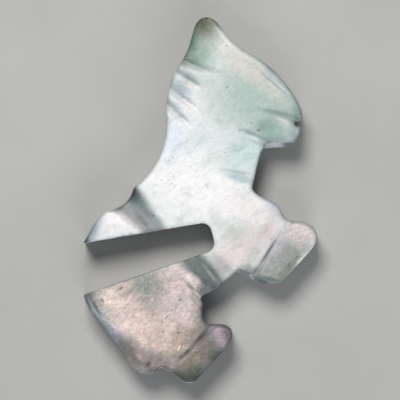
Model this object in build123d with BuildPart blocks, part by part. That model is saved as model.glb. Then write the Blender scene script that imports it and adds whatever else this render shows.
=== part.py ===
from build123d import *
from collections import namedtuple
import os

# A flat stone bead carved as a horse seen from its side, lying on its back face.
# X runs from the tail to the muzzle, Y from the hind hoof to the ear, Z through the stone.
# The origin is under the middle of the outline, on the back face. Sizes are in millimetres.

# Overall size
height = 42.0
width = 26.9
thickness = 5.0

# Rounding of the outer edges of both faces, and of the inner corners of the outline
edge_round = 0.5
inner_corner_round = 0.3

# Open slot between the back and the rump, narrower toward its rounded end
slot_length = 15.3
slot_mouth_width = 5.7
slot_end_width = 3.2
slot_end_round = 1.05
slot_tilt = 14.4

# Slit between the lips
lip_gap = 0.8
slit_end_width = 0.35
slit_depth = 0.7

# Groove round the waist, cut by a wheel from each face and round the outer wall. It is deepest at
# the wall and shallower at the slot, and its bottom turns over the edge with the last radius.
withers_wheel_radius = 3.3
withers_wall_depth = 0.68
belly_wheel_radius = 1.9
belly_wall_depth = 0.1
waist_edge_depth = 0.72
waist_slot_depth = 0.36
waist_edge_round = 0.4

# Carved lines of the front face, where they leave the stone
line_width = 1.5
line_depth = 0.42

# Sloped walls: how far each comes in over the front face, and how far down the wall it runs
steep_inset = 0.55
steep_drop = 3.6
tail_inset = 1.6
tail_drop = 1.0
ear_inset = 2.4
ear_drop = 0.6

# Hole for the cord, drilled through the neck from wall to wall, halfway through the stone
bore_radius = 0.75

# How far cutters run past the stone, and past the end of a carved line
overrun = 3.0
line_overrun = 0.8

# The outline, stroke by stroke and counterclockwise. Each row is a point: its share of the width
# from the tail side and its share of the height above the hind hoof. Two points are a straight stroke.
THROAT = [(0.722, 0.531), (0.744, 0.591), (0.760, 0.628), (0.771, 0.642)]
JAW = [(0.771, 0.642), (0.863, 0.644)]
HEAD = [
    (0.863, 0.644), (0.896, 0.653), (0.917, 0.670), (0.928, 0.690), (0.935, 0.717),
    (0.934, 0.740), (0.918, 0.766), (0.859, 0.823), (0.762, 0.881), (0.663, 0.920),
    (0.610, 0.952), (0.569, 0.987), (0.526, 1.000), (0.488, 0.988), (0.466, 0.952),
    (0.428, 0.888), (0.389, 0.845), (0.366, 0.802), (0.354, 0.742), (0.353, 0.690),
    (0.335, 0.637), (0.289, 0.581), (0.228, 0.540),
]
WITHERS = [(0.228, 0.540), (0.100, 0.472)]
BACK = [(0.100, 0.472), (0.051, 0.437), (0.000, 0.381), (-0.025, 0.349)]
DOCK = [(-0.025, 0.349), (-0.018, 0.273)]
TAIL = [
    (-0.018, 0.273), (0.001, 0.239), (0.027, 0.201), (0.058, 0.171), (0.140, 0.105),
    (0.193, 0.054), (0.225, 0.032), (0.265, 0.023), (0.302, 0.029), (0.330, 0.043),
]
HOCK = [(0.330, 0.043), (0.401, 0.020), (0.431, 0.005), (0.456, 0.000), (0.486, 0.009)]
HIND_SOLE = [(0.486, 0.009), (0.610, 0.095)]
HIND_TOE = [
    (0.610, 0.095), (0.634, 0.121), (0.639, 0.138), (0.622, 0.153), (0.589, 0.159),
    (0.544, 0.160), (0.520, 0.167), (0.512, 0.182), (0.514, 0.218),
]
STIFLE = [(0.514, 0.218), (0.500, 0.235)]
FLANK = [(0.500, 0.235), (0.572, 0.259)]
BELLY = [(0.572, 0.259), (0.654, 0.303)]
FORE_HEEL = [
    (0.654, 0.303), (0.711, 0.285), (0.750, 0.274), (0.790, 0.269), (0.829, 0.272),
    (0.859, 0.281), (0.885, 0.299),
]
FORE_SOLE = [(0.885, 0.299), (0.982, 0.369)]
FORELEG = [
    (0.982, 0.369), (0.997, 0.386), (1.000, 0.404), (0.986, 0.422), (0.961, 0.435),
    (0.929, 0.442), (0.882, 0.445), (0.859, 0.455), (0.844, 0.474), (0.824, 0.489),
    (0.789, 0.502), (0.746, 0.515), (0.722, 0.531),
]

# Inner corners of the outline: chest, throat, tail, flank and belly
INNER_CORNERS = [THROAT[0], THROAT[-1], TAIL[-1], STIFLE[-1], BELLY[-1]]

# Middle of the slot's inner end, inner end of the slit between the lips, and height of the cord hole
SLOT_END = (0.552, 0.403)
LIPS = (0.903, 0.709)
BORE_UP = 0.610

# Deepest line of each half of the waist groove, from inside the slot to the outer wall
Groove = namedtuple("Groove", "inner outer wheel_radius wall_depth")
WAIST = {
    "withers": Groove((0.298, 0.421), (0.165, 0.5065), withers_wheel_radius, withers_wall_depth),
    "belly": Groove((0.467, 0.338), (0.545, 0.244), belly_wheel_radius, belly_wall_depth),
}

# Carved lines, as shares of the named width and depth. Each is deepest at its outer end, where it
# leaves the stone, and fades at its inner end.
Carved = namedtuple("Carved", "outer inner width_share depth_share")
CARVED_LINES = {
    "mane_1": Carved((0.415, 0.882), (0.545, 0.850), 1.00, 1.00),
    "mane_2": Carved((0.386, 0.846), (0.503, 0.805), 1.00, 1.00),
    "mane_3": Carved((0.362, 0.806), (0.492, 0.746), 1.00, 1.00),
    "mane_4": Carved((0.353, 0.760), (0.476, 0.690), 1.00, 1.00),
    "mouth": Carved((0.915, 0.711), (0.735, 0.747), 1.00, 1.10),
    "jaw": Carved((0.777, 0.654), (0.662, 0.689), 0.75, 0.90),
    "neck": Carved((0.724, 0.566), (0.568, 0.585), 0.60, 0.60),
    "fore_fetlock": Carved((0.728, 0.290), (0.846, 0.419), 0.55, 0.80),
    "hind_fetlock": Carved((0.546, 0.153), (0.404, 0.060), 0.70, 0.90),
}

# Walls that slope back toward the front face. Each row has two places on the line of the wall, in
# the order of the outline, how far the slope comes in over the front face, and how far down it runs.
Slope = namedtuple("Slope", "start end inset drop")
SLOPES = {
    "jaw": Slope((0.771, 0.642), (0.930, 0.645), steep_inset, steep_drop),
    "fore_heel": Slope((0.654, 0.303), (0.830, 0.250), steep_inset, steep_drop),
    "tail": Slope((-0.053, 0.231), (0.307, -0.022), tail_inset, tail_drop),
    "ear": Slope((0.512, 1.029), (0.430, 0.890), ear_inset, ear_drop),
}


def at(across, up, above=0.0):
    """The place at these shares of the width and the height, and this far above the back face."""
    return Vector((across - 0.5) * width, (up - 0.5) * height, above)


def heading(stroke):
    """Direction of a straight stroke."""
    return (at(*stroke[-1]) - at(*stroke[0])).normalized()


def end_heading(end, near, far):
    """Direction in which an even curve through three points sets out from the first of them."""
    first = (near - end).normalized()
    second = (far - near).normalized()
    return first + (first - second) * (near - end).length / (far - end).length


def draw(stroke, start=None, end=None):
    """Draws a stroke. start and end are the directions that a curved one keeps at its ends."""
    points = [at(*share) for share in stroke]
    if len(points) == 2:
        return Line(points)
    start = start or end_heading(*points[:3])
    end = end or -end_heading(*points[:-4:-1])
    return Spline(points, tangents=[start, end], tangent_scalars=[1, 1])


def gap_corners(end_width, mouth_width, length):
    """Corners of a gap that starts at its inner end, widens outward and runs past the stone."""
    reach = length + overrun
    reach_width = end_width + (mouth_width - end_width) * reach / length
    return [
        (0, -end_width / 2),
        (reach, -reach_width / 2),
        (reach, reach_width / 2),
        (0, end_width / 2),
    ]


def wheel_path(groove):
    """Path of the wheel's middle in the upright plane along a groove, whose X points out of the
    stone and whose Y points up: over the front face, down the outer wall and under the back face."""
    run = (at(*groove.outer) - at(*groove.inner)).length
    radius = groove.wheel_radius
    rise = (waist_edge_depth - waist_slot_depth) * (run + overrun) / run
    out = radius - groove.wall_depth
    clear = radius - waist_edge_depth
    return [
        (-run - overrun, thickness + clear + rise),
        (out, thickness + clear),
        (out, -clear),
        (-run - overrun, -clear - rise),
    ]


def cutter_radius(cut_width, cut_depth):
    """Radius of the round cutter that leaves a line this wide at this depth."""
    return (cut_width**2 / 4 + cut_depth**2) / (2 * cut_depth)


def slope_corners(slope):
    """Corners of the cut along a sloped wall, in a plane whose X points into the stone and whose Y
    points up, with its origin at the top of the wall."""
    lean = slope.inset / slope.drop
    return [
        (slope.inset + lean * overrun, overrun),
        (-lean * overrun, -slope.drop - overrun),
        (-overrun, -slope.drop - overrun),
        (-overrun, overrun),
    ]


with BuildPart() as horse_bead:
    # The blank: a slab with the whole outline and rounded edges
    with BuildSketch():
        with BuildLine():
            draw(THROAT)
            draw(JAW)
            draw(HEAD, start=heading(JAW), end=heading(WITHERS))
            draw(WITHERS)
            draw(BACK, start=heading(WITHERS))
            draw(DOCK)
            draw(TAIL)
            draw(HOCK, end=heading(HIND_SOLE))
            draw(HIND_SOLE)
            draw(HIND_TOE, start=heading(HIND_SOLE))
            draw(STIFLE)
            draw(FLANK)
            draw(BELLY)
            draw(FORE_HEEL, end=heading(FORE_SOLE))
            draw(FORE_SOLE)
            draw(FORELEG, start=heading(FORE_SOLE))
        make_face()
        for corner in INNER_CORNERS:
            fillet(vertices().sort_by_distance(at(*corner))[0], inner_corner_round)
    extrude(amount=thickness)
    faces_of_slab = faces().sort_by(Axis.Z)
    fillet(faces_of_slab[0].edges() + faces_of_slab[-1].edges(), edge_round)

    # Sloped walls
    for slope in SLOPES.values():
        start = at(*slope.start, thickness)
        along = at(*slope.end, thickness) - start
        inward = Vector(0, 0, 1).cross(along)
        with BuildSketch(Plane(start, x_dir=inward, z_dir=inward.cross(Vector(0, 0, 1)))):
            Polygon(slope_corners(slope), align=None)
        extrude(amount=along.length, mode=Mode.SUBTRACT)

    # Groove round the waist
    for groove in WAIST.values():
        outward = at(*groove.outer) - at(*groove.inner)
        upright = Plane(at(*groove.outer), x_dir=outward, z_dir=outward.cross(Vector(0, 0, 1)))
        with BuildLine(upright) as path:
            FilletPolyline(wheel_path(groove), radius=groove.wheel_radius + waist_edge_round)
        with BuildSketch(path.line ^ 0):
            Circle(groove.wheel_radius)
        sweep(path=path.line, mode=Mode.SUBTRACT)

    # Carved lines of the front face
    for carved in CARVED_LINES.values():
        cut_depth = line_depth * carved.depth_share
        radius = cutter_radius(line_width * carved.width_share, cut_depth)
        inner = at(*carved.inner, thickness + radius)
        run = at(*carved.outer, thickness + radius - cut_depth) - inner
        with BuildSketch(Plane(inner, z_dir=run)):
            Circle(radius)
        extrude(amount=run.length + line_overrun, mode=Mode.SUBTRACT)

    # Open slot behind the horse's back
    with BuildSketch(Plane(at(*SLOT_END), x_dir=Vector(-1, 0).rotate(Axis.Z, slot_tilt))):
        Polygon(gap_corners(slot_end_width, slot_mouth_width, slot_length), align=None)
        fillet(vertices().sort_by(Axis.X)[:2], slot_end_round)
    extrude(amount=thickness, mode=Mode.SUBTRACT)

    # Slit between the lips
    with BuildSketch(Plane(at(*LIPS))):
        Polygon(gap_corners(slit_end_width, lip_gap, slit_depth), align=None)
    extrude(amount=thickness, mode=Mode.SUBTRACT)

    # Hole for the cord
    with Locations(at(0.5, BORE_UP, thickness / 2)):
        Cylinder(bore_radius, width, rotation=(0, 90, 0), mode=Mode.SUBTRACT)

horse_bead.part.label = "horse_bead"

os.makedirs("parts", exist_ok=True)
export_step(horse_bead.part, "parts/horse_bead.step")
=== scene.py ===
import math

import bpy
import numpy as np
from mathutils import Matrix, Vector, kdtree, noise


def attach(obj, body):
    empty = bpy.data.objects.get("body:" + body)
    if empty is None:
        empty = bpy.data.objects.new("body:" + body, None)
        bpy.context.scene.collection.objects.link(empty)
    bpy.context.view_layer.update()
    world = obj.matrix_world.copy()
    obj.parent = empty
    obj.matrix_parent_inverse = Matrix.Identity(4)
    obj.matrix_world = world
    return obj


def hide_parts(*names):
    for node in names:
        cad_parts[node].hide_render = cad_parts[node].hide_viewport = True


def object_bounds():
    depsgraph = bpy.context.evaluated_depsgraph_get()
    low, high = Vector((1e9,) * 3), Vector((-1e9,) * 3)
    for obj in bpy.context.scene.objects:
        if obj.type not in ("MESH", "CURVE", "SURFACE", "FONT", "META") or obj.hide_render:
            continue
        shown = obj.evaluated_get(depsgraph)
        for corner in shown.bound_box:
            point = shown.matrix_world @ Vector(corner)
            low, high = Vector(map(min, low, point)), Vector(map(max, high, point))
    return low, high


# Looks of a flat stone bead carved as a horse in profile, lying on a pale table.
# Lengths here are in millimetres unless a comment says otherwise. A place is a share of the width
# from the tail side and a share of the height above the hind hoof.

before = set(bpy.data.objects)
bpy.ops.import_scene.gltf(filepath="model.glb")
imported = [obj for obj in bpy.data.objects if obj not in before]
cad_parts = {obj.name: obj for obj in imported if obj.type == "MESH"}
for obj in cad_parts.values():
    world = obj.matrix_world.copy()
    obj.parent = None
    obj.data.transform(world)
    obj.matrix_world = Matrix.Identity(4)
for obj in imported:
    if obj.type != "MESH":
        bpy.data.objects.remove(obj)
cad_bounds = [[float(c) for c in corner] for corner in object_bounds()]

MM = 0.001
LOW, HIGH = (Vector(corner) / MM for corner in cad_bounds)
SPAN = HIGH - LOW


def at(across, up):
    """Place in millimetres, from shares of the width and the height."""
    return np.array([LOW.x + across * SPAN.x, LOW.y + up * SPAN.y])


def levels(low, high):
    """Two heights in millimetres, from shares of the thickness."""
    return low * SPAN.z, high * SPAN.z


def ease(x, low, high):
    """Smooth step of an array from 0 at low to 1 at high."""
    t = np.clip((x - low) / (high - low), 0, 1)
    return t * t * (3 - 2 * t)


# The stone's surface

# Marks that the carving wheel left in the front: start, end, depth, and how far each one spreads
# to the left and to the right of the way from start to end
WHEEL_MARKS = {
    "mane_1": ((0.388, 0.895), (0.546, 0.844), 0.20, 0.55, 0.42),
    "mane_2": ((0.360, 0.865), (0.504, 0.805), 0.16, 0.50, 0.42),
    "mane_3": ((0.334, 0.823), (0.500, 0.741), 0.16, 0.52, 0.45),
    "mane_4": ((0.324, 0.777), (0.468, 0.706), 0.16, 0.50, 0.45),
    "jaw_line": ((0.660, 0.694), (0.785, 0.660), 0.13, 0.8, 0.35),
    "nose_line_1": ((0.715, 0.872), (0.790, 0.829), 0.05, 0.40, 0.30),
    "nose_line_2": ((0.770, 0.842), (0.895, 0.775), 0.06, 0.40, 0.30),
    "nose_line_3": ((0.850, 0.806), (0.915, 0.748), 0.03, 0.22, 0.22),
    "withers_flank": ((0.215, 0.533), (0.372, 0.400), 0.05, 0.9, 1.1),
    "neck_line": ((0.585, 0.586), (0.735, 0.563), 0.04, 0.9, 0.9),
    "waist_rim": ((0.512, 0.338), (0.593, 0.276), 0.09, 0.45, 0.60),
    "waist_lip": ((0.452, 0.318), (0.502, 0.268), 0.16, 0.45, 0.9),
    "belly_sweep": ((0.589, 0.336), (0.662, 0.314), 0.06, 0.5, 0.5),
    "fore_fetlock": ((0.735, 0.296), (0.846, 0.419), 0.17, 0.42, 0.42),
    "fetlock_twin": ((0.712, 0.322), (0.775, 0.372), 0.03, 0.25, 0.25),
    "hind_fetlock": ((0.408, 0.060), (0.540, 0.146), 0.15, 0.45, 1.3),
    "haunch_line": ((0.425, 0.283), (0.508, 0.231), 0.16, 0.35, 0.5),
    "haunch_line_2": ((0.440, 0.250), (0.512, 0.200), 0.12, 0.35, 0.5),
    "tail_line": ((0.026, 0.238), (0.090, 0.178), 0.12, 0.35, 0.5),
}

# Flats ground into the front: two places on the line where each starts, with the flat on its
# right-hand side, then its fall in each millimetre
FLATS = {
    "fore_hoof": ((0.722, 0.278), (0.846, 0.423), 0.10),
    "hind_hoof": ((0.404, 0.060), (0.546, 0.153), 0.07),
    "nose": ((0.935, 0.742), (0.700, 0.885), 0.05),
    "back_edge": ((0.110, 0.455), (0.015, 0.372), 0.30),
    "ear": ((0.600, 1.010), (0.556, 0.868), 0.15),
}

# Shallow hollows rubbed into the front: middle, half length, half width, turn in degrees, depth
HOLLOWS = {
    "rump": ((0.215, 0.095), 2.9, 1.1, -45.0, 0.22),
    "cheek": ((0.815, 0.700), 2.2, 1.3, 10.0, 0.08),
    "neck": ((0.640, 0.610), 2.4, 2.0, 80.0, 0.08),
    "belly": ((0.600, 0.390), 3.5, 2.0, 60.0, 0.05),
}

# Chips in the edges of the slot: place, reach, and the way that the edge gives
CHIPS = {
    "slot_upper_1": ((0.168, 0.402), 0.28, (0.1, 0.9, -0.5)),
    "slot_upper_2": ((0.206, 0.404), 0.32, (-0.2, 0.9, -0.5)),
    "slot_lower_1": ((0.190, 0.281), 0.28, (0.2, -0.9, -0.5)),
    "lip": ((0.926, 0.701), 0.50, (-0.5, -0.4, -0.3)),
}

# Unevenness of the front and of the walls: height of each noise, factor on the places' heights that
# draws it out through the thickness, size of its features, and seed
FRONT_WAVES = ((0.05, 0.3, 5.0, 1), (0.02, 0.3, 2.1, 2))
WALL_WAVES = ((0.035, 0.25, 1.6, 3), (0.02, 0.4, 0.7, 4))
SEED_STEP = (17.3, 5.1, 9.7)

# What rubbing took off the front, the walls and the flats, and off the front's rim, where the loss
# fades with the distance from the rim
FRONT_LOSS = 0.05
WALL_LOSS = 0.03
FLAT_LOSS = 0.05
RIM_LOSS = 0.06
RIM_REACH = 0.5

# Shares of its way over which a wheel mark or a flat sets in and runs out, and half the width of the
# step along a flat's line
MARK_START = (-0.15, 0.1)
MARK_END = (0.65, 1.05)
FLAT_START = (-0.12, 0.08)
FLAT_END = (0.92, 1.12)
FLAT_STEP = 0.2

# Upward parts of the normal, and heights, that tell front, wall, rim and back apart
FRONT_TILT = (0.25, 0.8)
FRONT_HEIGHTS = levels(0.5, 0.7)
WALL_TILT = (0.3, 0.8)
RIM_TILT = 0.45
RIM_HEIGHTS = levels(0.7, 0.92)
BACK_TILT = (0.9, 0.99)
BACK_HEIGHT = 0.3

# A chip reaches twice as far down as sideways, and gives by a share of its reach
CHIP_SHAPE = (1, 1, 0.5)
CHIP_SHARE = 0.5

# Cells of the even mesh, rounds of smoothing before and after the carving, and how far the surface
# stays inside the solid's box
CELL = 0.15
ROUNDS_BEFORE = 3
ROUNDS_AFTER = 1
BOX_GAP = 0.002

# Name under which the mesh keeps each point's distance from the rim
RIM_DISTANCE = "away_from_rim"


def wander(points, size, seed):
    """Soft noise from -1 to 1 at points in millimetres, with features of about this size."""
    offset = Vector([seed * step for step in SEED_STEP])
    return np.array([noise.noise(Vector(p) / size + offset) for p in points])


def unevenness(points, waves, start=0.0):
    """Sum of soft noises at points in millimetres, on top of a start value."""
    total = start
    for height, squeeze, size, seed in waves:
        total = total + height * wander(points * [1, 1, squeeze], size, seed)
    return total


def beside(xy, start, end):
    """For each point, its share of the way from start to end and its distance to the left of it."""
    a, b = at(*start), at(*end)
    run = b - a
    length = np.linalg.norm(run)
    offset = xy - a
    return offset @ run / length**2, (run[0] * offset[:, 1] - run[1] * offset[:, 0]) / length


def mark_drop(xy, start, end, depth, left, right):
    """How far a wheel mark lowers each point."""
    t, side = beside(xy, start, end)
    across = np.where(side > 0, side / left, -side / right)
    return depth * (1 - ease(across, 0, 1)) * ease(t, *MARK_START) * (1 - ease(t, *MARK_END))


def hollow_drop(xy, middle, half_length, half_width, turn, depth):
    """How far a hollow lowers each point."""
    offset = xy - at(*middle)
    cosine, sine = math.cos(math.radians(turn)), math.sin(math.radians(turn))
    lengthwise = (offset[:, 0] * cosine + offset[:, 1] * sine) / half_length
    crosswise = (offset[:, 1] * cosine - offset[:, 0] * sine) / half_width
    return depth * (1 - ease(np.hypot(lengthwise, crosswise), 0, 1))


def ground(xy, surface, first, second, fall):
    """Surface heights once a flat has been ground off them."""
    t, left = beside(xy, first, second)
    flat = HIGH.z - FLAT_LOSS + fall * left
    ends = ease(t, *FLAT_START) * (1 - ease(t, *FLAT_END))
    return surface - np.maximum(surface - flat, 0) * ends * ease(-left, -FLAT_STEP, FLAT_STEP)


def smooth(points, edges, rounds, strength=0.5):
    """The points after some rounds of moving toward the mean of their neighbours."""
    count = np.bincount(edges.ravel(), minlength=len(points)).clip(1)[:, None]
    for _ in range(rounds):
        total = np.zeros_like(points)
        for axis in range(3):
            total[:, axis] = np.bincount(edges[:, 0], points[edges[:, 1], axis], len(points))
            total[:, axis] += np.bincount(edges[:, 1], points[edges[:, 0], axis], len(points))
        points = points + strength * (total / count - points)
    return points


def rows_of(items, name, width, kind):
    """One property of all points or edges of a mesh, a row for each."""
    out = np.zeros(len(items) * width, kind)
    items.foreach_get(name, out)
    return out.reshape(-1, width)


def put_points(mesh, points):
    """Moves the points of a mesh to these places."""
    mesh.vertices.foreach_set("co", points.astype(np.float32).ravel())
    mesh.update()


def even_mesh(node, cell):
    """A node's solid in millimetres, as a new mesh of even cells."""
    mesh = node.data.copy()
    mesh.transform(node.matrix_world)
    mesh.transform(Matrix.Scale(1 / MM, 4))
    draft = bpy.data.objects.new("draft", mesh)
    bpy.context.scene.collection.objects.link(draft)
    remesh = draft.modifiers.new("even", "REMESH")
    remesh.mode = "VOXEL"
    remesh.voxel_size = cell
    graph = bpy.context.evaluated_depsgraph_get()
    even = bpy.data.meshes.new_from_object(draft.evaluated_get(graph))
    bpy.data.objects.remove(draft)
    return even


def distance_from_rim(points, normal):
    """Distance of each point, seen from above, from the rim of the front."""
    low, high = RIM_HEIGHTS
    rim = np.flatnonzero((np.abs(normal[:, 2]) < RIM_TILT) & (points[:, 2] > low) & (points[:, 2] < high))
    tree = kdtree.KDTree(len(rim))
    for i in rim:
        tree.insert((points[i, 0], points[i, 1], 0), int(i))
    tree.balance()
    return np.array([tree.find((x, y, 0))[2] for x, y in points[:, :2]])


def carve(points, normal, away):
    """Moves points in place: marks, hollows and flats in the front, uneven walls, chips."""
    xy = points[:, :2]
    front = ease(normal[:, 2], *FRONT_TILT) * ease(points[:, 2], *FRONT_HEIGHTS)
    side = 1 - ease(np.abs(normal[:, 2]), *WALL_TILT)
    drop = unevenness(points, FRONT_WAVES, FRONT_LOSS)
    for mark in WHEEL_MARKS.values():
        drop += mark_drop(xy, *mark)
    for hollow in HOLLOWS.values():
        drop += hollow_drop(xy, *hollow)
    drop += RIM_LOSS * np.exp(-away / RIM_REACH)

    surface = points[:, 2] - drop
    for flat in FLATS.values():
        surface = ground(xy, surface, *flat)
    points[:, 2] += front * (surface - points[:, 2])
    points -= normal * (side * (WALL_LOSS + unevenness(points, WALL_WAVES)))[:, None]
    for middle, reach, push in CHIPS.values():
        corner = np.array([*at(*middle), HIGH.z])
        near = np.linalg.norm((points - corner) * CHIP_SHAPE, axis=1) / reach
        points += CHIP_SHARE * reach * (1 - ease(near, 0, 1))[:, None] * np.array(push)


def stone_mesh(node, cell):
    """The carved solid as an even mesh in metres, with worn edges and wheel marks."""
    even = even_mesh(node, cell)
    edges = rows_of(even.edges, "vertices", 2, np.int32)
    points = smooth(rows_of(even.vertices, "co", 3, np.float32).astype(float), edges, ROUNDS_BEFORE)
    put_points(even, points)
    normal = rows_of(even.vertex_normals, "vector", 3, np.float32)
    away = distance_from_rim(points, normal)
    carve(points, normal, away)
    points = smooth(points, edges, ROUNDS_AFTER)

    # The surface stays inside the solid's box, and the back stays flat
    points = np.clip(points, np.array(LOW) + BOX_GAP, np.array(HIGH) - BOX_GAP)
    back = ease(-normal[:, 2], *BACK_TILT) * (points[:, 2] < BACK_HEIGHT)
    points[:, 2] += back * (LOW.z + BOX_GAP - points[:, 2])
    even.attributes.new(RIM_DISTANCE, "FLOAT", "POINT").data.foreach_set("value", away)
    even.polygons.foreach_set("use_smooth", [True] * len(even.polygons))
    put_points(even, points * MM)
    return even


# Helpers for all materials

# Half size of a patch through the thickness, far more than the stone's own
THROUGH = 1000


def linear(red, green, blue):
    """Linear colour from 0 to 255 screen values."""
    return tuple(
        v / 12.92 if v <= 0.04045 else ((v + 0.055) / 1.055) ** 2.4
        for v in (red / 255, green / 255, blue / 255)
    ) + (1.0,)


class Shader:
    """One material, its place in millimetres, and small helpers that add nodes to it."""

    def __init__(self, name):
        self.material = bpy.data.materials.new(name)
        self.material.use_nodes = True
        self.tree = self.material.node_tree
        self.principled = self.tree.nodes["Principled BSDF"]
        place = self.node("ShaderNodeTexCoord").outputs["Object"]
        self.mm = self.vector("MULTIPLY", place, (1 / MM,) * 3)

    def node(self, kind, inputs=(), **settings):
        """A new node, with values or links for some of its inputs."""
        made = self.tree.nodes.new(kind)
        for key, value in settings.items():
            setattr(made, key, value)
        for key, value in dict(inputs).items():
            self.put(made.inputs[key], value)
        return made

    def put(self, socket, value):
        """Links an input to another node's output, or sets its value."""
        if isinstance(value, bpy.types.NodeSocket):
            self.tree.links.new(value, socket)
        else:
            socket.default_value = value

    def math(self, operation, first, second=0.5, third=0.5, clamp=False):
        """A sum, product or the like of numbers."""
        inputs = {0: first, 1: second, 2: third}
        return self.node("ShaderNodeMath", inputs, operation=operation, use_clamp=clamp).outputs[0]

    def vector(self, operation, first, second):
        """A sum or product of vectors, or the number that a dot product gives."""
        made = self.node("ShaderNodeVectorMath", {0: first, 1: second}, operation=operation)
        return made.outputs["Value" if operation == "DOT_PRODUCT" else "Vector"]

    def mix(self, share, first, second, how="MIX"):
        """The first colour, with a share of the second one over it."""
        inputs = {0: share, 6: first, 7: second}
        return self.node("ShaderNodeMix", inputs, data_type="RGBA", blend_type=how).outputs[2]

    def span(self, value, low, high, start=0.0, end=1.0):
        """Smooth step from start, where the value is low, to end, where it is high."""
        inputs = {"Value": value, "From Min": low, "From Max": high, "To Min": start, "To Max": end}
        return self.node("ShaderNodeMapRange", inputs, interpolation_type="SMOOTHSTEP").outputs[0]

    def noise(self, where, scale, detail, roughness=0.55, distortion=0.0):
        """Soft noise: its outputs are a number and a colour."""
        inputs = {"Vector": where, "Scale": scale, "Detail": detail}
        inputs |= {"Roughness": roughness, "Distortion": distortion}
        return self.node("ShaderNodeTexNoise", inputs).outputs

    def drift(self, where, fineness, reach, roughness):
        """The same places, moved sideways by a soft noise."""
        moved = self.noise(where, fineness, detail=3.0, roughness=roughness)["Color"]
        moved = self.vector("SUBTRACT", moved, (0.5, 0.5, 0.5))
        return self.vector("ADD", where, self.vector("MULTIPLY", moved, (reach, reach, 0)))

    def beyond(self, where, first, second, step):
        """1 on the right-hand side of a line, 0 on its left, with a soft step between."""
        a, b = at(*first), at(*second)
        run = (b - a) / np.linalg.norm(b - a)
        offset = self.vector("SUBTRACT", where, (*a, 0))
        side = self.vector("DOT_PRODUCT", offset, (run[1], -run[0], 0))
        return self.span(side, -step, step)

    def patch(self, where, middle, half_x, half_y, turn, soft, strength):
        """Soft ellipse through the whole thickness: its strength in the middle, 0 outside."""
        inputs = {
            "Vector": where,
            "Location": (*at(*middle), 0),
            "Rotation": (0, 0, math.radians(turn)),
            "Scale": (half_x, half_y, THROUGH),
        }
        mapping = self.node("ShaderNodeMapping", inputs, vector_type="TEXTURE")
        fall = self.node("ShaderNodeTexGradient", {0: mapping.outputs[0]}, gradient_type="SPHERICAL")
        return self.span(fall.outputs["Fac"], 0.0, soft, 0.0, strength)

    def painted(self, colour, rows, where, within=None):
        """A colour with a table's patches over it, kept within a field if one is given."""
        for *shape, tint in rows.values():
            share = self.patch(where, *shape)
            if within is not None:
                share = self.math("MULTIPLY", share, within)
            colour = self.mix(share, colour, linear(*tint))
        return colour

    def finish(self, values, height, distance, strength):
        """The material, once its own sockets are set and a height gives its normal."""
        for name, value in values.items():
            self.put(self.principled.inputs[name], value)
        bump = {"Height": height, "Distance": distance, "Strength": strength}
        self.put(self.principled.inputs["Normal"], self.node("ShaderNodeBump", bump).outputs[0])
        return self.material


# The stone's material

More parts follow.
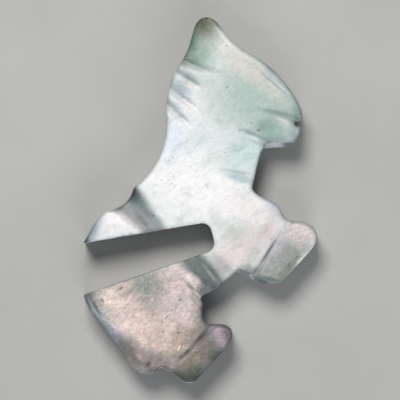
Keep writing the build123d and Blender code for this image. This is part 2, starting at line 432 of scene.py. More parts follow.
# Patches of colour: middle, half sizes, turn in degrees, softness, strength, colour
PATCHES = {
    "rump": ((0.280, 0.170), 9.2, 8.4, 0, 0.45, 1.0, (219, 200, 193)),
    "rump_mauve": ((0.394, 0.215), 3.4, 2.2, -54, 0.9, 0.7, (224, 207, 207)),
    "rump_cream": ((0.132, 0.235), 2.6, 1.6, -30, 0.9, 0.9, (246, 226, 217)),
    "rump_pink": ((0.242, 0.139), 4.0, 2.0, -27, 0.9, 0.95, (242, 217, 211)),
    "rump_tan": ((0.285, 0.200), 2.4, 1.3, -20, 0.9, 0.7, (194, 176, 162)),
    "rump_grey": ((0.085, 0.200), 2.0, 1.0, -47, 0.9, 0.8, (186, 188, 182)),
    "rump_green": ((0.279, 0.271), 4.2, 2.9, -72, 0.9, 0.95, (144, 150, 143)),
    "rump_green_top": ((0.318, 0.305), 1.7, 1.2, 20, 0.9, 0.6, (148, 151, 145)),
    "rump_corner": ((0.016, 0.238), 2.7, 1.9, 0, 0.9, 0.95, (96, 104, 102)),
    "rump_left": ((0.196, 0.248), 2.7, 1.6, 10, 0.9, 0.62, (164, 155, 146)),
    "rump_edge": ((0.125, 0.268), 1.5, 0.9, 20, 0.9, 0.6, (170, 158, 148)),
    "rump_top": ((0.396, 0.310), 3.4, 2.2, 20, 0.9, 0.8, (213, 196, 190)),
    "rump_low": ((0.320, 0.120), 3.2, 1.9, -30, 0.9, 0.7, (200, 182, 170)),
    "haunch": ((0.431, 0.212), 3.4, 2.6, 30, 0.9, 0.85, (206, 191, 188)),
    "haunch_grey": ((0.385, 0.280), 1.8, 0.7, 10, 0.9, 0.6, (170, 163, 159)),
    # Painted shade along the haunch's right edge
    "haunch_edge": ((0.527, 0.185), 4.4, 2.3, -87, 1.0, 0.95, (112, 109, 109)),
    "thigh": ((0.414, 0.111), 2.6, 2.0, 40, 0.9, 0.85, (186, 168, 151)),
    "thigh_top": ((0.410, 0.146), 1.5, 1.0, 40, 0.9, 0.6, (158, 146, 136)),
    "hock": ((0.352, 0.050), 4.2, 1.9, -25, 0.9, 0.85, (126, 120, 116)),
    "head": ((0.735, 0.790), 8.3, 8.0, 0, 0.8, 1.0, (181, 198, 192)),
    "chin": ((0.810, 0.690), 4.6, 3.2, 20, 0.8, 0.9, (162, 182, 179)),
    "muzzle": ((0.880, 0.750), 3.2, 3.0, 0, 0.8, 0.7, (160, 180, 174)),
    "forehead": ((0.672, 0.873), 4.4, 2.4, -42, 0.9, 0.9, (218, 214, 207)),
    "forehead_left": ((0.576, 0.887), 1.9, 1.4, 0, 0.9, 0.5, (190, 199, 194)),
    "nose_cream": ((0.785, 0.818), 4.9, 1.6, -45, 0.9, 0.75, (216, 211, 203)),
    "nose_tip": ((0.917, 0.734), 1.7, 1.1, -83, 0.9, 0.85, (132, 154, 145)),
    "lip_green": ((0.795, 0.689), 2.2, 1.6, -38, 0.8, 0.8, (142, 173, 161)),
    "lip_pink": ((0.868, 0.705), 1.4, 0.8, -30, 0.9, 0.6, (210, 206, 205)),
    "ear": ((0.497, 0.912), 2.5, 4.0, 0, 0.7, 0.95, (154, 178, 166)),
    "ear_left": ((0.450, 0.920), 1.5, 4.2, -18, 0.9, 0.85, (112, 134, 126)),
    "ear_right": ((0.568, 0.945), 1.9, 2.6, -35, 0.9, 0.6, (172, 177, 169)),
    "ear_tip": ((0.525, 0.990), 3.4, 2.9, 7, 0.9, 1.0, (80, 88, 52)),
    "mane": ((0.431, 0.808), 4.0, 1.8, 66, 0.9, 0.8, (200, 210, 211)),
    "mane_right": ((0.520, 0.832), 1.8, 2.6, 20, 0.9, 0.6, (202, 213, 210)),
    "neck_right": ((0.679, 0.625), 4.4, 3.6, 10, 0.9, 0.9, (204, 223, 221)),
    "neck_middle": ((0.520, 0.670), 4.0, 3.0, 0, 0.9, 0.7, (219, 229, 232)),
    "neck_left": ((0.385, 0.650), 2.2, 4.6, -8, 0.9, 0.9, (228, 236, 247)),
    "shoulder": ((0.500, 0.530), 8.5, 4.6, -20, 0.8, 0.9, (253, 250, 249)),
    "spike": ((0.140, 0.445), 3.0, 2.0, 0, 0.8, 0.9, (252, 247, 250)),
    "chest": ((0.720, 0.470), 5.0, 3.2, -30, 0.9, 0.8, (244, 236, 236)),
    "belly": ((0.660, 0.365), 4.6, 3.2, 30, 0.8, 0.9, (231, 217, 216)),
    "belly_green": ((0.655, 0.408), 2.6, 1.4, 30, 0.9, 0.75, (198, 203, 197)),
    "foreleg": ((0.765, 0.398), 3.4, 2.6, 55, 0.9, 0.85, (213, 206, 205)),
    "foreleg_low": ((0.747, 0.349), 1.6, 1.0, 50, 0.9, 0.5, (192, 186, 184)),
    "foreleg_blush": ((0.795, 0.415), 1.9, 1.2, 50, 0.9, 0.6, (228, 208, 213)),
    # Painted shade toward the fore heel
    "fore_heel": ((0.740, 0.310), 2.9, 1.2, -15, 1.0, 0.85, (128, 131, 132)),
    "flank": ((0.600, 0.315), 2.6, 1.7, -47, 0.9, 0.85, (192, 190, 188)),
    "slot_end": ((0.568, 0.445), 2.0, 1.2, -65, 0.9, 0.5, (204, 207, 204)),
    "knee": ((0.880, 0.450), 4.0, 1.6, -25, 0.9, 0.8, (188, 184, 188)),
    "knee_end": ((0.985, 0.418), 2.0, 1.0, -75, 0.9, 0.6, (156, 152, 154)),
    "knee_top": ((0.931, 0.436), 1.7, 0.8, -35, 0.9, 0.6, (160, 160, 164)),
}

# Colours beyond each fetlock line: two places on the line, with the hoof on its right-hand side,
# half the width of the step between, then patches as above
HOOVES = {
    "fore": (
        ((0.735, 0.296), (0.846, 0.419), 0.3),
        {
            "hoof": ((0.850, 0.335), 5.2, 3.8, 45, 0.7, 0.95, (162, 164, 160)),
            "edge": ((0.830, 0.375), 2.9, 1.3, 57, 0.9, 0.75, (190, 188, 196)),
            "toe": ((0.935, 0.405), 3.4, 2.2, -20, 0.9, 0.9, (222, 208, 208)),
            "sole": ((0.866, 0.300), 3.2, 1.1, 45, 0.9, 0.8, (140, 144, 130)),
        },
    ),
    "hind": (
        ((0.420, 0.064), (0.523, 0.141), 0.6),
        {
            "hoof": ((0.520, 0.078), 7.2, 4.4, 45, 0.4, 0.95, (114, 109, 103)),
            "toe": ((0.594, 0.132), 2.9, 2.1, -69, 0.9, 0.9, (180, 162, 174)),
            # Grey just beyond the hind crease, partly painted shade over the crease's lit wall
            "edge": ((0.538, 0.130), 1.6, 1.0, -67, 0.9, 0.6, (116, 119, 122)),
            "tan": ((0.473, 0.060), 2.4, 1.4, 45, 0.9, 0.6, (148, 137, 119)),
            "sole": ((0.568, 0.072), 1.5, 0.9, 49, 0.9, 0.9, (70, 88, 76)),
            # Painted shade along the toe's upper right edge
            "rim": ((0.622, 0.140), 2.4, 0.9, -70, 1.0, 0.8, (98, 92, 96)),
            "tip": ((0.455, 0.008), 3.4, 2.0, 15, 0.9, 0.95, (60, 72, 60)),
        },
    ),
}

# Straight-edged bands along the carving, in the same columns as the patches. Many of them are painted
# shade in and beside the carving, and painted highlights on its lit walls.
BANDS = {
    # Painted shade above the first of the mane's lines and at its end
    "mane_shade": ((0.462, 0.884), 2.8, 0.75, -24, 1.0, 0.8, (112, 131, 125)),
    "mane_end": ((0.533, 0.861), 1.6, 0.90, -26, 1.0, 0.75, (164, 179, 172)),
    # Painted highlight along the ear's ridge
    "ear_ridge": ((0.617, 0.942), 2.2, 0.65, -45, 0.9, 0.8, (246, 246, 242)),
    # Painted highlights on the lit walls below the mane's lines, and bluish painted shade in the lines
    # and between them
    "mane_highlight_1": ((0.482, 0.859), 1.9, 0.40, -26, 1.0, 0.6, (212, 210, 206)),
    "mane_highlight_2": ((0.449, 0.816), 1.8, 0.42, -32, 1.0, 0.7, (230, 215, 221)),
    "mane_highlight_3": ((0.426, 0.764), 2.2, 0.44, -37, 1.0, 0.7, (236, 222, 229)),
    "mane_highlight_4": ((0.407, 0.723), 2.1, 0.46, -39, 1.0, 0.7, (240, 228, 237)),
    "mane_blue_1": ((0.448, 0.842), 2.6, 0.70, -33, 0.9, 0.75, (166, 180, 182)),
    "mane_line_2": ((0.462, 0.828), 2.0, 0.42, -32, 1.0, 0.6, (140, 153, 153)),
    "mane_line_3": ((0.436, 0.779), 2.1, 0.36, -36, 1.0, 0.5, (150, 163, 167)),
    "mane_line_4": ((0.424, 0.728), 2.0, 0.36, -38, 1.0, 0.55, (160, 172, 178)),
    "mane_blue_2": ((0.408, 0.812), 2.5, 0.85, -37, 0.9, 0.85, (166, 184, 190)),
    "mane_blue_3": ((0.380, 0.764), 2.1, 0.55, -39, 0.9, 0.7, (184, 199, 207)),
    "mane_blue_4": ((0.362, 0.718), 1.3, 0.45, -72, 0.9, 0.6, (196, 208, 218)),
    # The nose's blue-grey bevel, partly painted shade and darkest where it starts, then painted shade in
    # the nose's line and a painted highlight just beyond it
    "nose_bevel": ((0.846, 0.824), 4.8, 0.80, -46, 0.9, 0.75, (173, 185, 185)),
    "nose_shade": ((0.799, 0.858), 1.4, 0.60, -46, 0.9, 0.6, (148, 160, 160)),
    "nose_line": ((0.814, 0.818), 3.3, 0.28, -40, 1.0, 0.7, (148, 150, 146)),
    "nose_glint": ((0.845, 0.808), 2.2, 0.20, -38, 1.0, 0.5, (228, 225, 223)),
    # Painted shade in the mouth's groove and a painted highlight on its lower wall
    "mouth_dark": ((0.830, 0.738), 2.9, 0.42, -13, 0.9, 0.7, (126, 147, 138)),
    "mouth_highlight": ((0.863, 0.713), 1.9, 0.42, -28, 0.9, 0.85, (225, 229, 230)),
    "lip_low": ((0.825, 0.668), 2.4, 0.60, 2, 0.9, 0.7, (140, 160, 158)),
    "lip_end": ((0.897, 0.676), 1.9, 1.00, -75, 0.95, 0.9, (150, 165, 168)),
    # Painted shade in the jaw's line and a painted highlight on the wall below it
    "jaw_shade": ((0.712, 0.684), 1.8, 0.42, -20, 1.0, 0.75, (136, 157, 152)),
    "jaw_highlight": ((0.730, 0.669), 1.4, 0.36, -20, 1.0, 0.8, (232, 242, 239)),
    # Painted shade in the neck's line
    "neck_dark": ((0.650, 0.577), 2.6, 0.36, -10, 0.9, 0.7, (172, 197, 195)),
    "neck_rim": ((0.745, 0.602), 2.3, 0.60, 75, 0.9, 0.6, (222, 240, 240)),
    # Bluish painted shade over the lit wall below the neck's line
    "neck_blue": ((0.670, 0.560), 3.0, 0.75, -16, 0.9, 0.9, (172, 190, 194)),
    # Bluish painted shade just inside the chest's right edge
    "chest_rim": ((0.790, 0.506), 3.8, 1.15, -42, 0.95, 0.9, (192, 200, 211)),
    # Painted shade in the upper waist groove, greenish and darkest at its top, and pinkish painted shade
    # over the lit rim on its left
    "waist_up": ((0.2295, 0.465), 6.2, 1.60, -45, 0.45, 0.92, (159, 158, 161)),
    "waist_up_green": ((0.244, 0.501), 3.3, 1.20, -52, 0.95, 0.9, (112, 136, 134)),
    "waist_up_low": ((0.322, 0.440), 1.9, 0.95, -52, 0.95, 0.7, (142, 164, 158)),
    "waist_up_top": ((0.205, 0.522), 1.9, 1.50, -52, 1.0, 1.0, (34, 50, 52)),
    "waist_up_left": ((0.250, 0.446), 2.4, 0.55, -50, 0.9, 0.6, (122, 134, 128)),
    "waist_up_end": ((0.150, 0.474), 1.3, 0.70, -45, 0.9, 0.6, (136, 138, 142)),
    "waist_up_rim": ((0.195, 0.443), 2.6, 0.60, -40, 0.9, 0.6, (222, 208, 211)),
    # Painted shade in the lower waist groove and along its right side, with a lighter streak in it, and a
    # painted highlight on the lit wall to its left
    "waist_low": ((0.514, 0.306), 5.6, 1.95, -47, 0.6, 0.95, (112, 124, 121)),
    "waist_low_left": ((0.414, 0.331), 1.6, 0.90, -47, 1.0, 0.6, (138, 138, 130)),
    "waist_low_light": ((0.540, 0.300), 1.9, 0.34, -55, 1.0, 0.7, (172, 177, 175)),
    "waist_low_line": ((0.563, 0.297), 2.3, 0.32, -50, 1.0, 0.7, (92, 99, 98)),
    "waist_low_dark": ((0.530, 0.272), 1.1, 0.55, -45, 1.0, 0.7, (80, 88, 88)),
    "waist_low_right": ((0.581, 0.330), 3.0, 1.05, -50, 0.95, 0.75, (178, 180, 178)),
    "waist_highlight": ((0.470, 0.286), 1.35, 0.72, -40, 0.9, 1.0, (255, 240, 236)),
    "waist_foot": ((0.506, 0.252), 2.3, 0.95, 25, 1.0, 0.8, (130, 126, 130)),
    # Painted shade in the haunch's lines and a painted highlight on the ridge between them
    "haunch_line": ((0.463, 0.260), 1.5, 0.42, -44, 1.0, 0.9, (126, 124, 118)),
    "haunch_ridge": ((0.486, 0.245), 1.0, 0.24, -45, 1.0, 0.7, (232, 226, 220)),
    "haunch_step": ((0.478, 0.222), 1.5, 0.28, -48, 1.0, 0.6, (146, 140, 142)),
    # Painted shade in the fore fetlock's line and a painted highlight on the ridge beside it
    "fore_line": ((0.791, 0.360), 3.1, 0.28, 58, 1.0, 0.95, (96, 101, 104)),
    "fore_ridge": ((0.747, 0.344), 1.9, 0.25, 54, 1.0, 0.3, (242, 237, 235)),
    "fore_heel": ((0.795, 0.284), 2.4, 0.55, -15, 0.9, 0.9, (108, 130, 128)),
    "fore_rim": ((0.944, 0.347), 2.8, 0.40, 47, 0.9, 0.9, (246, 244, 238)),
    # Painted shade in the hind fetlock's crease and beside it
    "hind_shade": ((0.476, 0.136), 3.2, 1.50, 52, 1.0, 0.7, (116, 109, 104)),
    "hind_line": ((0.492, 0.117), 2.3, 0.40, 53, 1.0, 0.9, (76, 70, 63)),
    "hind_line_low": ((0.438, 0.080), 2.2, 0.52, 42, 1.0, 0.95, (66, 60, 52)),
    "hind_side": ((0.490, 0.098), 2.6, 0.45, 48, 1.0, 0.6, (122, 113, 105)),
    "hind_end": ((0.405, 0.078), 1.2, 0.90, 30, 0.9, 0.6, (122, 112, 102)),
    "crease_stroke_1": ((0.411, 0.097), 0.60, 0.17, 62, 0.9, 0.9, (250, 226, 212)),
    "crease_stroke_2": ((0.426, 0.099), 0.50, 0.15, 64, 0.9, 0.85, (250, 226, 212)),
    "crease_stroke_3": ((0.419, 0.096), 0.50, 0.14, 62, 0.9, 0.7, (104, 88, 76)),
    # Bluish painted shade on the bevel at the spike's left edge
    "spike_left": ((0.030, 0.406), 3.8, 1.25, 57, 0.95, 0.9, (124, 140, 152)),
    "spike_tip": ((0.008, 0.390), 1.0, 0.9, 45, 1.0, 0.95, (58, 76, 82)),
    # The tail's bevel in bluish grey, lightened by painted light where it faces away from the lamp
    "tail_edge": ((0.075, 0.168), 5.0, 1.10, -52, 0.5, 0.95, (181, 187, 193)),
    # Painted shade in the tail's line and a painted highlight on the ridge beside it
    "tail_line": ((0.051, 0.212), 2.0, 0.38, -59, 0.9, 0.9, (104, 106, 104)),
    "tail_ridge": ((0.120, 0.162), 1.7, 0.26, -40, 1.0, 0.9, (242, 235, 233)),
    "tail_mauve": ((0.146, 0.132), 2.7, 1.15, -47, 0.9, 0.9, (190, 182, 199)),
    # Painted shade in the hollow between tail and rump
    "tail_end": ((0.278, 0.062), 3.8, 2.0, -15, 0.8, 0.85, (144, 136, 135)),
    "tail_dark": ((0.188, 0.100), 2.5, 1.4, -45, 0.9, 0.85, (134, 131, 127)),
    "tail_top": ((0.212, 0.113), 1.6, 0.80, -35, 0.9, 0.6, (148, 143, 138)),
    "tail_blush": ((0.238, 0.075), 0.85, 0.50, -56, 1.0, 0.8, (214, 180, 178)),
    "tail_rust": ((0.279, 0.052), 0.60, 0.38, 51, 0.9, 0.9, (98, 68, 64)),
    # Painted shade in the notch between the tail and the hind hoof
    "tail_gap": ((0.302, 0.036), 1.0, 0.80, 0, 0.9, 0.7, (98, 98, 96)),
    "tail_corner": ((0.014, 0.226), 1.6, 0.75, -60, 0.9, 0.75, (94, 104, 106)),
}

# Places on the sawn undersides, in the same columns as the patches: darker stone, painted shade and white
# painted glints
UNDERSIDES = {
    "fore_heel": ((0.722, 0.290), 3.6, 1.9, -20, 0.8, 0.85, (128, 128, 140)),
    "fore_low": ((0.775, 0.272), 1.6, 1.0, -10, 0.9, 0.9, (98, 108, 110)),
    # White painted glints
    "fore_glint_1": ((0.717, 0.294), 0.34, 0.26, 30, 0.9, 1.0, (255, 255, 255)),
    "fore_glint_2": ((0.724, 0.286), 0.30, 0.20, -20, 0.9, 0.9, (255, 255, 255)),
    # Painted shade at the far end of the jaw's underside
    "jaw_end": ((0.880, 0.652), 1.3, 1.1, 0, 0.8, 0.95, (114, 128, 132)),
    # White painted glints, the first one wide enough to lighten much of the jaw's underside
    "jaw_glint_1": ((0.812, 0.651), 1.1, 0.50, 20, 0.9, 1.0, (255, 255, 255)),
    "jaw_glint_2": ((0.846, 0.646), 0.36, 0.22, 20, 0.9, 0.9, (255, 255, 255)),
}

# Clouds of colour in the coarse stone: fineness, where each starts and is full, strength, colour
CLOUDS = {
    "rose": (0.75, 0.48, 0.66, 0.60, (226, 196, 190)),
    "cream": (0.95, 0.50, 0.68, 0.45, (228, 214, 200)),
    "moss": (0.85, 0.54, 0.74, 0.50, (178, 174, 162)),
    "mauve": (0.70, 0.54, 0.74, 0.40, (198, 183, 184)),
    "tan": (1.60, 0.54, 0.72, 0.50, (190, 167, 152)),
    "pale": (1.90, 0.55, 0.72, 0.50, (242, 224, 215)),
}

# Small natural marks in the front: place, half length, half width, turn in degrees, strength
SPOTS = [
    ((0.749, 0.690), 0.20, 0.16, 0, 1.0), ((0.720, 0.711), 0.16, 0.12, 30, 0.5),
    ((0.668, 0.690), 0.18, 0.14, 0, 0.5), ((0.613, 0.808), 0.30, 0.16, 40, 0.45),
    ((0.656, 0.834), 0.20, 0.14, 30, 0.3), ((0.613, 0.921), 0.30, 0.12, 35, 0.5),
    ((0.567, 0.912), 0.20, 0.10, 30, 0.35), ((0.607, 0.629), 0.20, 0.14, 20, 0.35),
    ((0.367, 0.553), 0.25, 0.12, 30, 0.3), ((0.803, 0.393), 0.18, 0.14, 0, 0.7),
    ((0.301, 0.458), 0.22, 0.18, 0, 0.7), ((0.268, 0.434), 0.45, 0.25, -30, 0.35),
    ((0.164, 0.259), 0.50, 0.14, 38, 0.7), ((0.083, 0.226), 0.38, 0.18, -50, 0.8),
    ((0.190, 0.215), 0.22, 0.14, 20, 0.5), ((0.414, 0.228), 0.42, 0.15, 25, 0.7),
    ((0.380, 0.199), 0.22, 0.13, 30, 0.5), ((0.358, 0.182), 0.30, 0.15, 45, 0.6),
    ((0.405, 0.193), 0.18, 0.10, 30, 0.4), ((0.409, 0.138), 0.38, 0.14, 5, 0.7),
    ((0.341, 0.141), 0.24, 0.14, 20, 0.5), ((0.268, 0.230), 0.22, 0.14, 10, 0.4),
    ((0.280, 0.055), 0.30, 0.20, 60, 0.5), ((0.560, 0.205), 0.25, 0.12, 40, 0.3),
    ((0.912, 0.345), 0.45, 0.16, 50, 0.55), ((0.878, 0.322), 0.50, 0.18, 48, 0.60),
    ((0.838, 0.298), 0.35, 0.16, 40, 0.50), ((0.366, 0.609), 0.26, 0.12, 20, 0.35),
    ((0.377, 0.544), 0.30, 0.10, 40, 0.35), ((0.392, 0.538), 0.30, 0.10, 45, 0.35),
    ((0.315, 0.541), 0.24, 0.10, 20, 0.25), ((0.573, 0.850), 0.30, 0.12, 20, 0.25),
]

# Layers over the patches: how they are mixed in, full strength, colour. The rim, carving and wall layers
# are painted shade, the underside layer is partly painted light, and the glints are painted glints.
LAYERS = {
    # Painted shade on the rims, in the carving and on the walls
    "rim": ("MULTIPLY", 0.55, (196, 205, 206)),
    "carving": ("MULTIPLY", 0.55, (150, 166, 162)),
    "wall": ("MULTIPLY", 0.50, (158, 172, 175)),
    # Lilac white of rough-ground stone, partly painted light where the undersides face away from the lamp
    "underside": ("MIX", 0.90, (238, 238, 252)),
    # White painted glints
    "painted_glint": ("MIX", 0.70, (255, 255, 255)),
    "cloud": ("MULTIPLY", 0.55, (210, 223, 216)),
    "fleck": ("MIX", 0.50, (126, 138, 126)),
    "speck": ("MULTIPLY", 0.60, (150, 146, 134)),
    "scratch": ("MIX", 0.20, (246, 234, 226)),
    "spot": ("MIX", 1.00, (84, 96, 86)),
}

# Where the fields of the layers start and where they are full. Tilts are parts of the normal, rim
# and inner go by the distance from the rim, heights are in millimetres, and the others are values
# of a noise or, for the scratches, the distance to a cell's edge.
FADES = {
    "rim": (0.55, 0.02),
    "rim_tilt": (0.3, 0.6),
    "inner": (0.2, 0.9),
    "carving_height": levels(0.975, 0.86),
    "carving_tilt": (0.2, 0.5),
    "wall_tilt": (0.80, 0.30),
    "underside_tilt": (-0.72, -0.92),
    "underside_height": (1.0, 2.0),
    "band_height": levels(0.45, 0.75),
    "spot_height": levels(0.6, 0.8),
    "painted_glint": (0.56, 0.66),
    "cloud": (0.50, 0.74),
    "fleck": (0.67, 0.77),
    "speck": (0.62, 0.74),
    "scratch": (0.06, 0.015),
    "scratch_place": (0.53, 0.61),
}

# Mottling that runs up to the right, as in felted jade: its turn in degrees, then for each noise
# the factors on places along the mottling, across it and through the thickness, where a factor under
# 1 draws the noise out, then fineness, detail, roughness and distortion
MOTTLING_TURN = -35
MOTTLING = {
    "cloud": ((0.60, 1.0, 0.8), 0.8, 3.0, 0.6, 0.4),
    "felt": ((0.55, 1.0, 0.8), 2.2, 4.0, 0.7, 0.5),
    "grain": ((0.55, 1.0, 1.0), 4.0, 3.0, 0.7, 0.0),
    "fleck": ((0.55, 1.0, 1.0), 2.1, 2.0, 0.7, 0.3),
    "speck": ((0.60, 1.0, 1.0), 4.6, 2.0, 0.6, 0.0),
}

# How much the felt and the grain change the brightness, and how much more they do in coarse stone
SWINGS = {"felt": 0.40, "grain": 0.36}
COARSE_SWING = 1.8

# Clouds of colour: detail, roughness and distortion of their noise, and the shift from each cloud's
# noise to the next one's
CLOUD_NOISE = (3.0, 0.6, 0.9)
CLOUD_STEP = (7.3, 3.1, 5.7)

# Crystals on the undersides: fineness, detail and roughness. The saw marks on the walls have the
# same columns, and factors on places that draw them out through the thickness.
CRYSTAL_NOISE = (4.4, 2.0, 0.7)
SAW_NOISE = (5.0, 3.0, 0.6)
SAW_FACTORS = (1.0, 1.0, 0.12)

# Scratches: fineness and detail of their bends and of the places where they are, how far they bend,
# and the fineness of the cells along whose edges they run
SCRATCH_WARP = (1.4, 2.0)
SCRATCH_PLACES = (1.5, 1.0)
SCRATCH_BEND = 0.9
SCRATCH_CELLS = 1.5

# Fineness, reach and roughness of the waves in the borders of patches and of single marks
BORDER_WAVES = (0.5, 2.2, 0.6)
SPOT_WAVES = (4.5, 0.5, 0.7)
SPOT_SOFTNESS = 0.8

# The patches run through the thickness at a slant: shift along each axis in each millimetre of depth
SLANT = (0.32, -0.24)

# A hoof's line with a narrower step than this is straight, and one with a wider step is wavy
WAVY_STEP = 0.5

# The coarse stone: its patch, as above but without a colour, and how coarse the hooves are
COARSE_PATCH = ((0.30, 0.17), 10.0, 9.5, 0, 0.4, 1.0)
COARSE_HOOVES = 0.55

# Colours of the plain stone, and of the coarse stone that the clouds' colours are told against, and
# the share of the whole colour that is kept
PLAIN = (238, 240, 239)
COARSE = (214, 195, 186)
DIMMING = 0.88

# A rubbed polish: its roughness where the felt's noise is low and high, and how much rougher the
# walls and the single marks are
FELT_VALUES = (0.3, 0.7)
POLISH = (0.42, 0.52)
WALL_DULLNESS = 0.16
SPOT_DULLNESS = 0.3

# The way that light goes into the stone
TRANSLUCENCE = {
    "IOR": 1.61,
    "Specular IOR Level": 0.4,
    "Subsurface Weight": 0.22,
    "Subsurface Radius": (1.0, 1.0, 0.85),
    "Subsurface Scale": 0.45 * MM,
}

# Relief too fine for the mesh: how high each field stands, or how deep it lies if that is negative
RELIEF = {
    "cloud": 0.030,
    "felt": 0.018,
    "grain": 0.007,
    "fleck": -0.010,
    "spot": -0.070,
    "speck": -0.0072,
    "scratch": -0.012,
    "saw": 0.050,
}


class Stone(Shader):
    """Pale translucent green stone, with the fields that its layers share."""

    def __init__(self, name):
        super().__init__(name)

        # Height above the back, parts of the normal toward the ears and up, and distance from the rim
        self.height = self.node("ShaderNodeSeparateXYZ", {0: self.mm}).outputs[2]
        facing = self.node("ShaderNodeNewGeometry").outputs["Normal"]
        _, self.toward, self.up = self.node("ShaderNodeSeparateXYZ", {0: facing}).outputs
        self.wall = self.fade("wall_tilt", self.math("ABSOLUTE", self.up))
        self.away = self.node("ShaderNodeAttribute", attribute_name=RIM_DISTANCE).outputs["Fac"]

        # Places with wavy borders, shifted more the deeper they are
        depth = self.math("SUBTRACT", SPAN.z, self.height)
        shift = {axis: self.math("MULTIPLY", depth, share) for axis, share in enumerate(SLANT)}
        slanted = self.vector("ADD", self.mm, self.node("ShaderNodeCombineXYZ", shift).outputs[0])
        self.wavy = self.drift(slanted, *BORDER_WAVES)

        # Noises of the mottling
        turn = {"Vector": self.mm, "Rotation": (0, 0, math.radians(MOTTLING_TURN))}
        turned = self.node("ShaderNodeMapping", turn).outputs[0]
        self.mottling = {
            name: self.noise(self.vector("MULTIPLY", turned, factors), *rest)[0]
            for name, (factors, *rest) in MOTTLING.items()
        }

        # Each hoof, and the coarse stone of rump and hooves
        self.hoof = {}
        hooves = 0.0
        for name, ((first, second, step), _) in HOOVES.items():
            where = self.wavy if step > WAVY_STEP else self.mm
            self.hoof[name] = self.beyond(where, first, second, step)
            hooves = self.math("MAXIMUM", hooves, self.hoof[name])
        coarse = self.patch(self.wavy, *COARSE_PATCH)
        self.coarse = self.math("MAXIMUM", coarse, self.math("MULTIPLY", hooves, COARSE_HOOVES))

    def fade(self, name, value):
        """0 where a value starts one of the named fades, 1 where that is full."""
        return self.span(value, *FADES[name])

    def layered(self, colour, name, share):
        """A colour with a share of one of the named layers over it."""
        how, strength, tint = LAYERS[name]
        return self.mix(self.math("MULTIPLY", share, strength), colour, linear(*tint), how)

    def patched(self):
        """The plain stone with its patches and its hooves and, on the front, its bands, many of them
        painted shade and painted highlights along the carving.
        """
        colour = self.painted(linear(*PLAIN), PATCHES, self.wavy)
        for name, (_, patches) in HOOVES.items():
            colour = self.painted(colour, patches, self.wavy, self.hoof[name])
        banded = self.painted(colour, BANDS, self.mm)
        return self.mix(self.fade("band_height", self.height), colour, banded)

    def with_painted_shade(self, colour):
        """Painted shade: the rims, the carving and the walls are made darker and greener."""
        rim = self.math("MULTIPLY", self.fade("rim", self.away), self.fade("rim_tilt", self.up))
        colour = self.layered(colour, "rim", rim)
        carving = self.fade("carving_height", self.height)
        carving = self.math("MULTIPLY", carving, self.fade("carving_tilt", self.up))
        colour = self.layered(colour, "carving", carving)
        return self.layered(colour, "wall", self.wall)

    def undersides(self, colour):
        """The sawn undersides: lilac-white rough stone, partly painted light where they face away from
        the lamp, with darker places, painted shade and painted glints.
        """
        under = self.fade("underside_tilt", self.toward)
        under = self.math("MULTIPLY", under, self.fade("underside_height", self.height))
        colour = self.layered(colour, "underside", under)
        colour = self.painted(colour, UNDERSIDES, self.mm, under)
        glints = self.fade("painted_glint", self.noise(self.mm, *CRYSTAL_NOISE)[0])
        return self.layered(colour, "painted_glint", self.math("MULTIPLY", glints, under))

    def mottled(self, colour):
        """Clouds of colour in the coarse stone, then the mottling all over."""
        inside = self.math("MULTIPLY", self.coarse, self.fade("inner", self.away))
        for number, (fineness, start, full, strength, tint) in enumerate(CLOUDS.values()):
            shifted = self.vector("ADD", self.mm, [number * step for step in CLOUD_STEP])
            share = self.span(self.noise(shifted, fineness, *CLOUD_NOISE)[0], start, full, 0.0, strength)
            relative = [part / base for part, base in zip(linear(*tint), linear(*COARSE))]
            colour = self.mix(self.math("MULTIPLY", share, inside), colour, relative, "MULTIPLY")
        colour = self.layered(colour, "cloud", self.fade("cloud", self.mottling["cloud"]))
        for name, amount in SWINGS.items():
            swing = self.math("MULTIPLY", self.math("SUBTRACT", 0.5, self.mottling[name]), amount)
            more = self.math("MULTIPLY_ADD", self.coarse, COARSE_SWING, 1.0)
            swing = self.math("ADD", self.math("MULTIPLY", swing, more), 1.0)
            colour = self.vector("MULTIPLY", colour, swing)
        return colour

    def flecks(self):
        """Small dark flecks, longer along the mottling."""
        return self.fade("fleck", self.mottling["fleck"])

    def specks(self):
        """Finer specks in the coarse stone."""
        return self.math("MULTIPLY", self.fade("speck", self.mottling["speck"]), self.coarse)

    def scratches(self):
        """Short curved scratches in the coarse stone, along the edges of warped cells."""
        warp = self.noise(self.mm, *SCRATCH_WARP)["Color"]
        warped = self.vector("ADD", self.mm, self.vector("MULTIPLY", warp, (SCRATCH_BEND,) * 3))
        inputs = {"Vector": warped, "Scale": SCRATCH_CELLS}
        cells = self.node("ShaderNodeTexVoronoi", inputs, feature="DISTANCE_TO_EDGE")
        where = self.fade("scratch_place", self.noise(self.mm, *SCRATCH_PLACES)[0])
        where = self.math("MULTIPLY", where, self.coarse)
        return self.math("MULTIPLY", self.fade("scratch", cells.outputs["Distance"]), where)

    def spots(self):
        """Single marks and pinholes in the front."""
        ragged = self.drift(self.mm, *SPOT_WAVES)
        spots = 0.0
        for *shape, strength in SPOTS:
            spots = self.math("MAXIMUM", spots, self.patch(ragged, *shape, SPOT_SOFTNESS, strength))
        return self.math("MULTIPLY", spots, self.fade("spot_height", self.height))

    def saw_marks(self):
        """Ridges that run down the walls."""
        drawn_out = self.vector("MULTIPLY", self.mm, SAW_FACTORS)
        return self.math("MULTIPLY", self.noise(drawn_out, *SAW_NOISE)[0], self.wall)

    def roughness(self, spots):
        """How dull the polish is, from 0 to 1."""
        rough = self.span(self.mottling["felt"], *FELT_VALUES, *POLISH)
        rough = self.math("ADD", rough, self.math("MULTIPLY", self.wall, WALL_DULLNESS))
        return self.math("ADD", rough, self.math("MULTIPLY", spots, SPOT_DULLNESS), clamp=True)

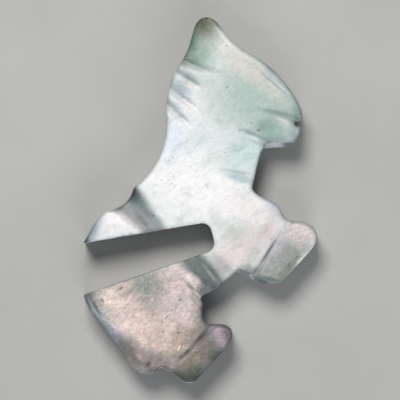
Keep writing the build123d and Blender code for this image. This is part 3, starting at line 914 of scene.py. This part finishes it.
    def relief(self, fields):
        """Sum of the named fields, each as high as it stands."""
        height = 0.0
        for name, amount in RELIEF.items():
            height = self.math("ADD", height, self.math("MULTIPLY", fields[name], amount))
        return height


def stone_material():
    """The stone's colour from its layers, with its polish and its fine relief."""
    s = Stone("carved_jade")
    colour = s.mottled(s.undersides(s.with_painted_shade(s.patched())))
    marks = {"fleck": s.flecks(), "speck": s.specks(), "scratch": s.scratches(), "spot": s.spots()}
    for name, share in marks.items():
        colour = s.layered(colour, name, share)
    colour = s.vector("MULTIPLY", colour, (DIMMING,) * 3)
    looks = {"Base Color": colour, "Roughness": s.roughness(marks["spot"])} | TRANSLUCENCE
    height = s.relief(s.mottling | marks | {"saw": s.saw_marks()})
    return s.finish(looks, height, MM, 1.0)


# The horse

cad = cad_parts["horse_bead"]
cell = CELL
horse = bpy.data.objects.new("carved_horse", stone_mesh(cad, cell))
bpy.context.scene.collection.objects.link(horse)
horse.data.materials.clear()
horse.data.materials.append(stone_material())
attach(horse, "root")
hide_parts("horse_bead")


# Table, light and camera. Places and sizes here are in metres, and power is in watts.

# The table: half its width, its colours, fineness and detail of its clouds and of its grain, the
# values of their noise where each starts and is full, how strongly the grain shows, and height and
# strength of the grain's relief
TABLE_HALF = 0.6
TABLE_COLOURS = {"dark": (172, 171, 168), "light": (178, 177, 174), "grain": (150, 150, 148)}
TABLE_CLOUDS = (0.05, 3.0)
TABLE_CLOUD_FADE = (0.3, 0.7)
TABLE_GRAIN = (3.0, 3.0)
TABLE_GRAIN_FADE = (0.4, 0.8)
TABLE_GRAIN_SHARE = 0.05
TABLE_RELIEF = (0.02 * MM, 0.4)
TABLE_FINISH = {"Roughness": 0.85, "Specular IOR Level": 0.2}

SKY_COLOUR = (0.86, 0.93, 1.0, 1)
SKY_STRENGTH = 0.19

# Lamps: place, diameter, power, colour
LAMPS = {
    "key": ((-0.075, 0.232, 0.390), 0.20, 1.95, (1.0, 0.99, 0.97)),
    "fill": ((0.10, -0.42, 0.28), 0.40, 1.12, (0.94, 0.96, 1.0)),
}

# The camera looks straight down at a point, from a distance above the middle of the thickness. Only
# the width of its sensor is in millimetres.
CAMERA_POINT = (-0.02 * MM, 0.01 * MM)
CAMERA_DISTANCE = 0.450
CLIP_START = 0.01
SENSOR_WIDTH = 36.0

# The picture is as wide as the photograph, in which the horse takes up some of the pixels across.
# The horse's width is in millimetres.
PHOTO_PIXELS = 400
HORSE_PIXELS = 233.6
HORSE_WIDTH = 26.9


def table_material():
    """Pale matt table with faint clouds and a fine grain."""
    s = Shader("pale_table")
    tint = {name: linear(*colour) for name, colour in TABLE_COLOURS.items()}
    clouds = s.noise(s.mm, *TABLE_CLOUDS)[0]
    grain = s.noise(s.mm, *TABLE_GRAIN)[0]
    colour = s.mix(s.span(clouds, *TABLE_CLOUD_FADE), tint["dark"], tint["light"])
    share = s.span(grain, *TABLE_GRAIN_FADE, 0.0, TABLE_GRAIN_SHARE)
    colour = s.mix(share, colour, tint["grain"])
    return s.finish({"Base Color": colour} | TABLE_FINISH, grain, *TABLE_RELIEF)


def area_light(name, place, size, watts, colour):
    """Adds a round lamp that points at the middle of the table."""
    lamp = bpy.data.lights.new(name, "AREA")
    lamp.shape = "DISK"
    lamp.size = size
    lamp.energy = watts
    lamp.color = colour
    thing = bpy.data.objects.new(name, lamp)
    thing.location = place
    thing.rotation_euler = (-Vector(place)).to_track_quat("-Z", "Y").to_euler()
    bpy.context.scene.collection.objects.link(thing)


table_mesh = bpy.data.meshes.new("table")
corners = [(x * TABLE_HALF, y * TABLE_HALF, 0) for x, y in ((-1, -1), (1, -1), (1, 1), (-1, 1))]
table_mesh.from_pydata(corners, [], [(0, 1, 2, 3)])
table = bpy.data.objects.new("table", table_mesh)
table_mesh.materials.append(table_material())
bpy.context.scene.collection.objects.link(table)

world = bpy.data.worlds.new("studio")
world.use_nodes = True
sky = world.node_tree.nodes["Background"].inputs
sky["Color"].default_value = SKY_COLOUR
sky["Strength"].default_value = SKY_STRENGTH
bpy.context.scene.world = world

for lamp_name, lamp_values in LAMPS.items():
    area_light(lamp_name, *lamp_values)

camera_data = bpy.data.cameras.new("camera")
camera_data.sensor_width = SENSOR_WIDTH
frame_width = PHOTO_PIXELS * HORSE_WIDTH / HORSE_PIXELS * MM
camera_data.lens = SENSOR_WIDTH * CAMERA_DISTANCE / frame_width
camera_data.clip_start = CLIP_START
camera = bpy.data.objects.new("camera", camera_data)
camera.location = (*CAMERA_POINT, CAMERA_DISTANCE + 0.5 * SPAN.z * MM)
bpy.context.scene.collection.objects.link(camera)
bpy.context.scene.camera = camera
bpy.context.scene.view_settings.view_transform = "Standard"
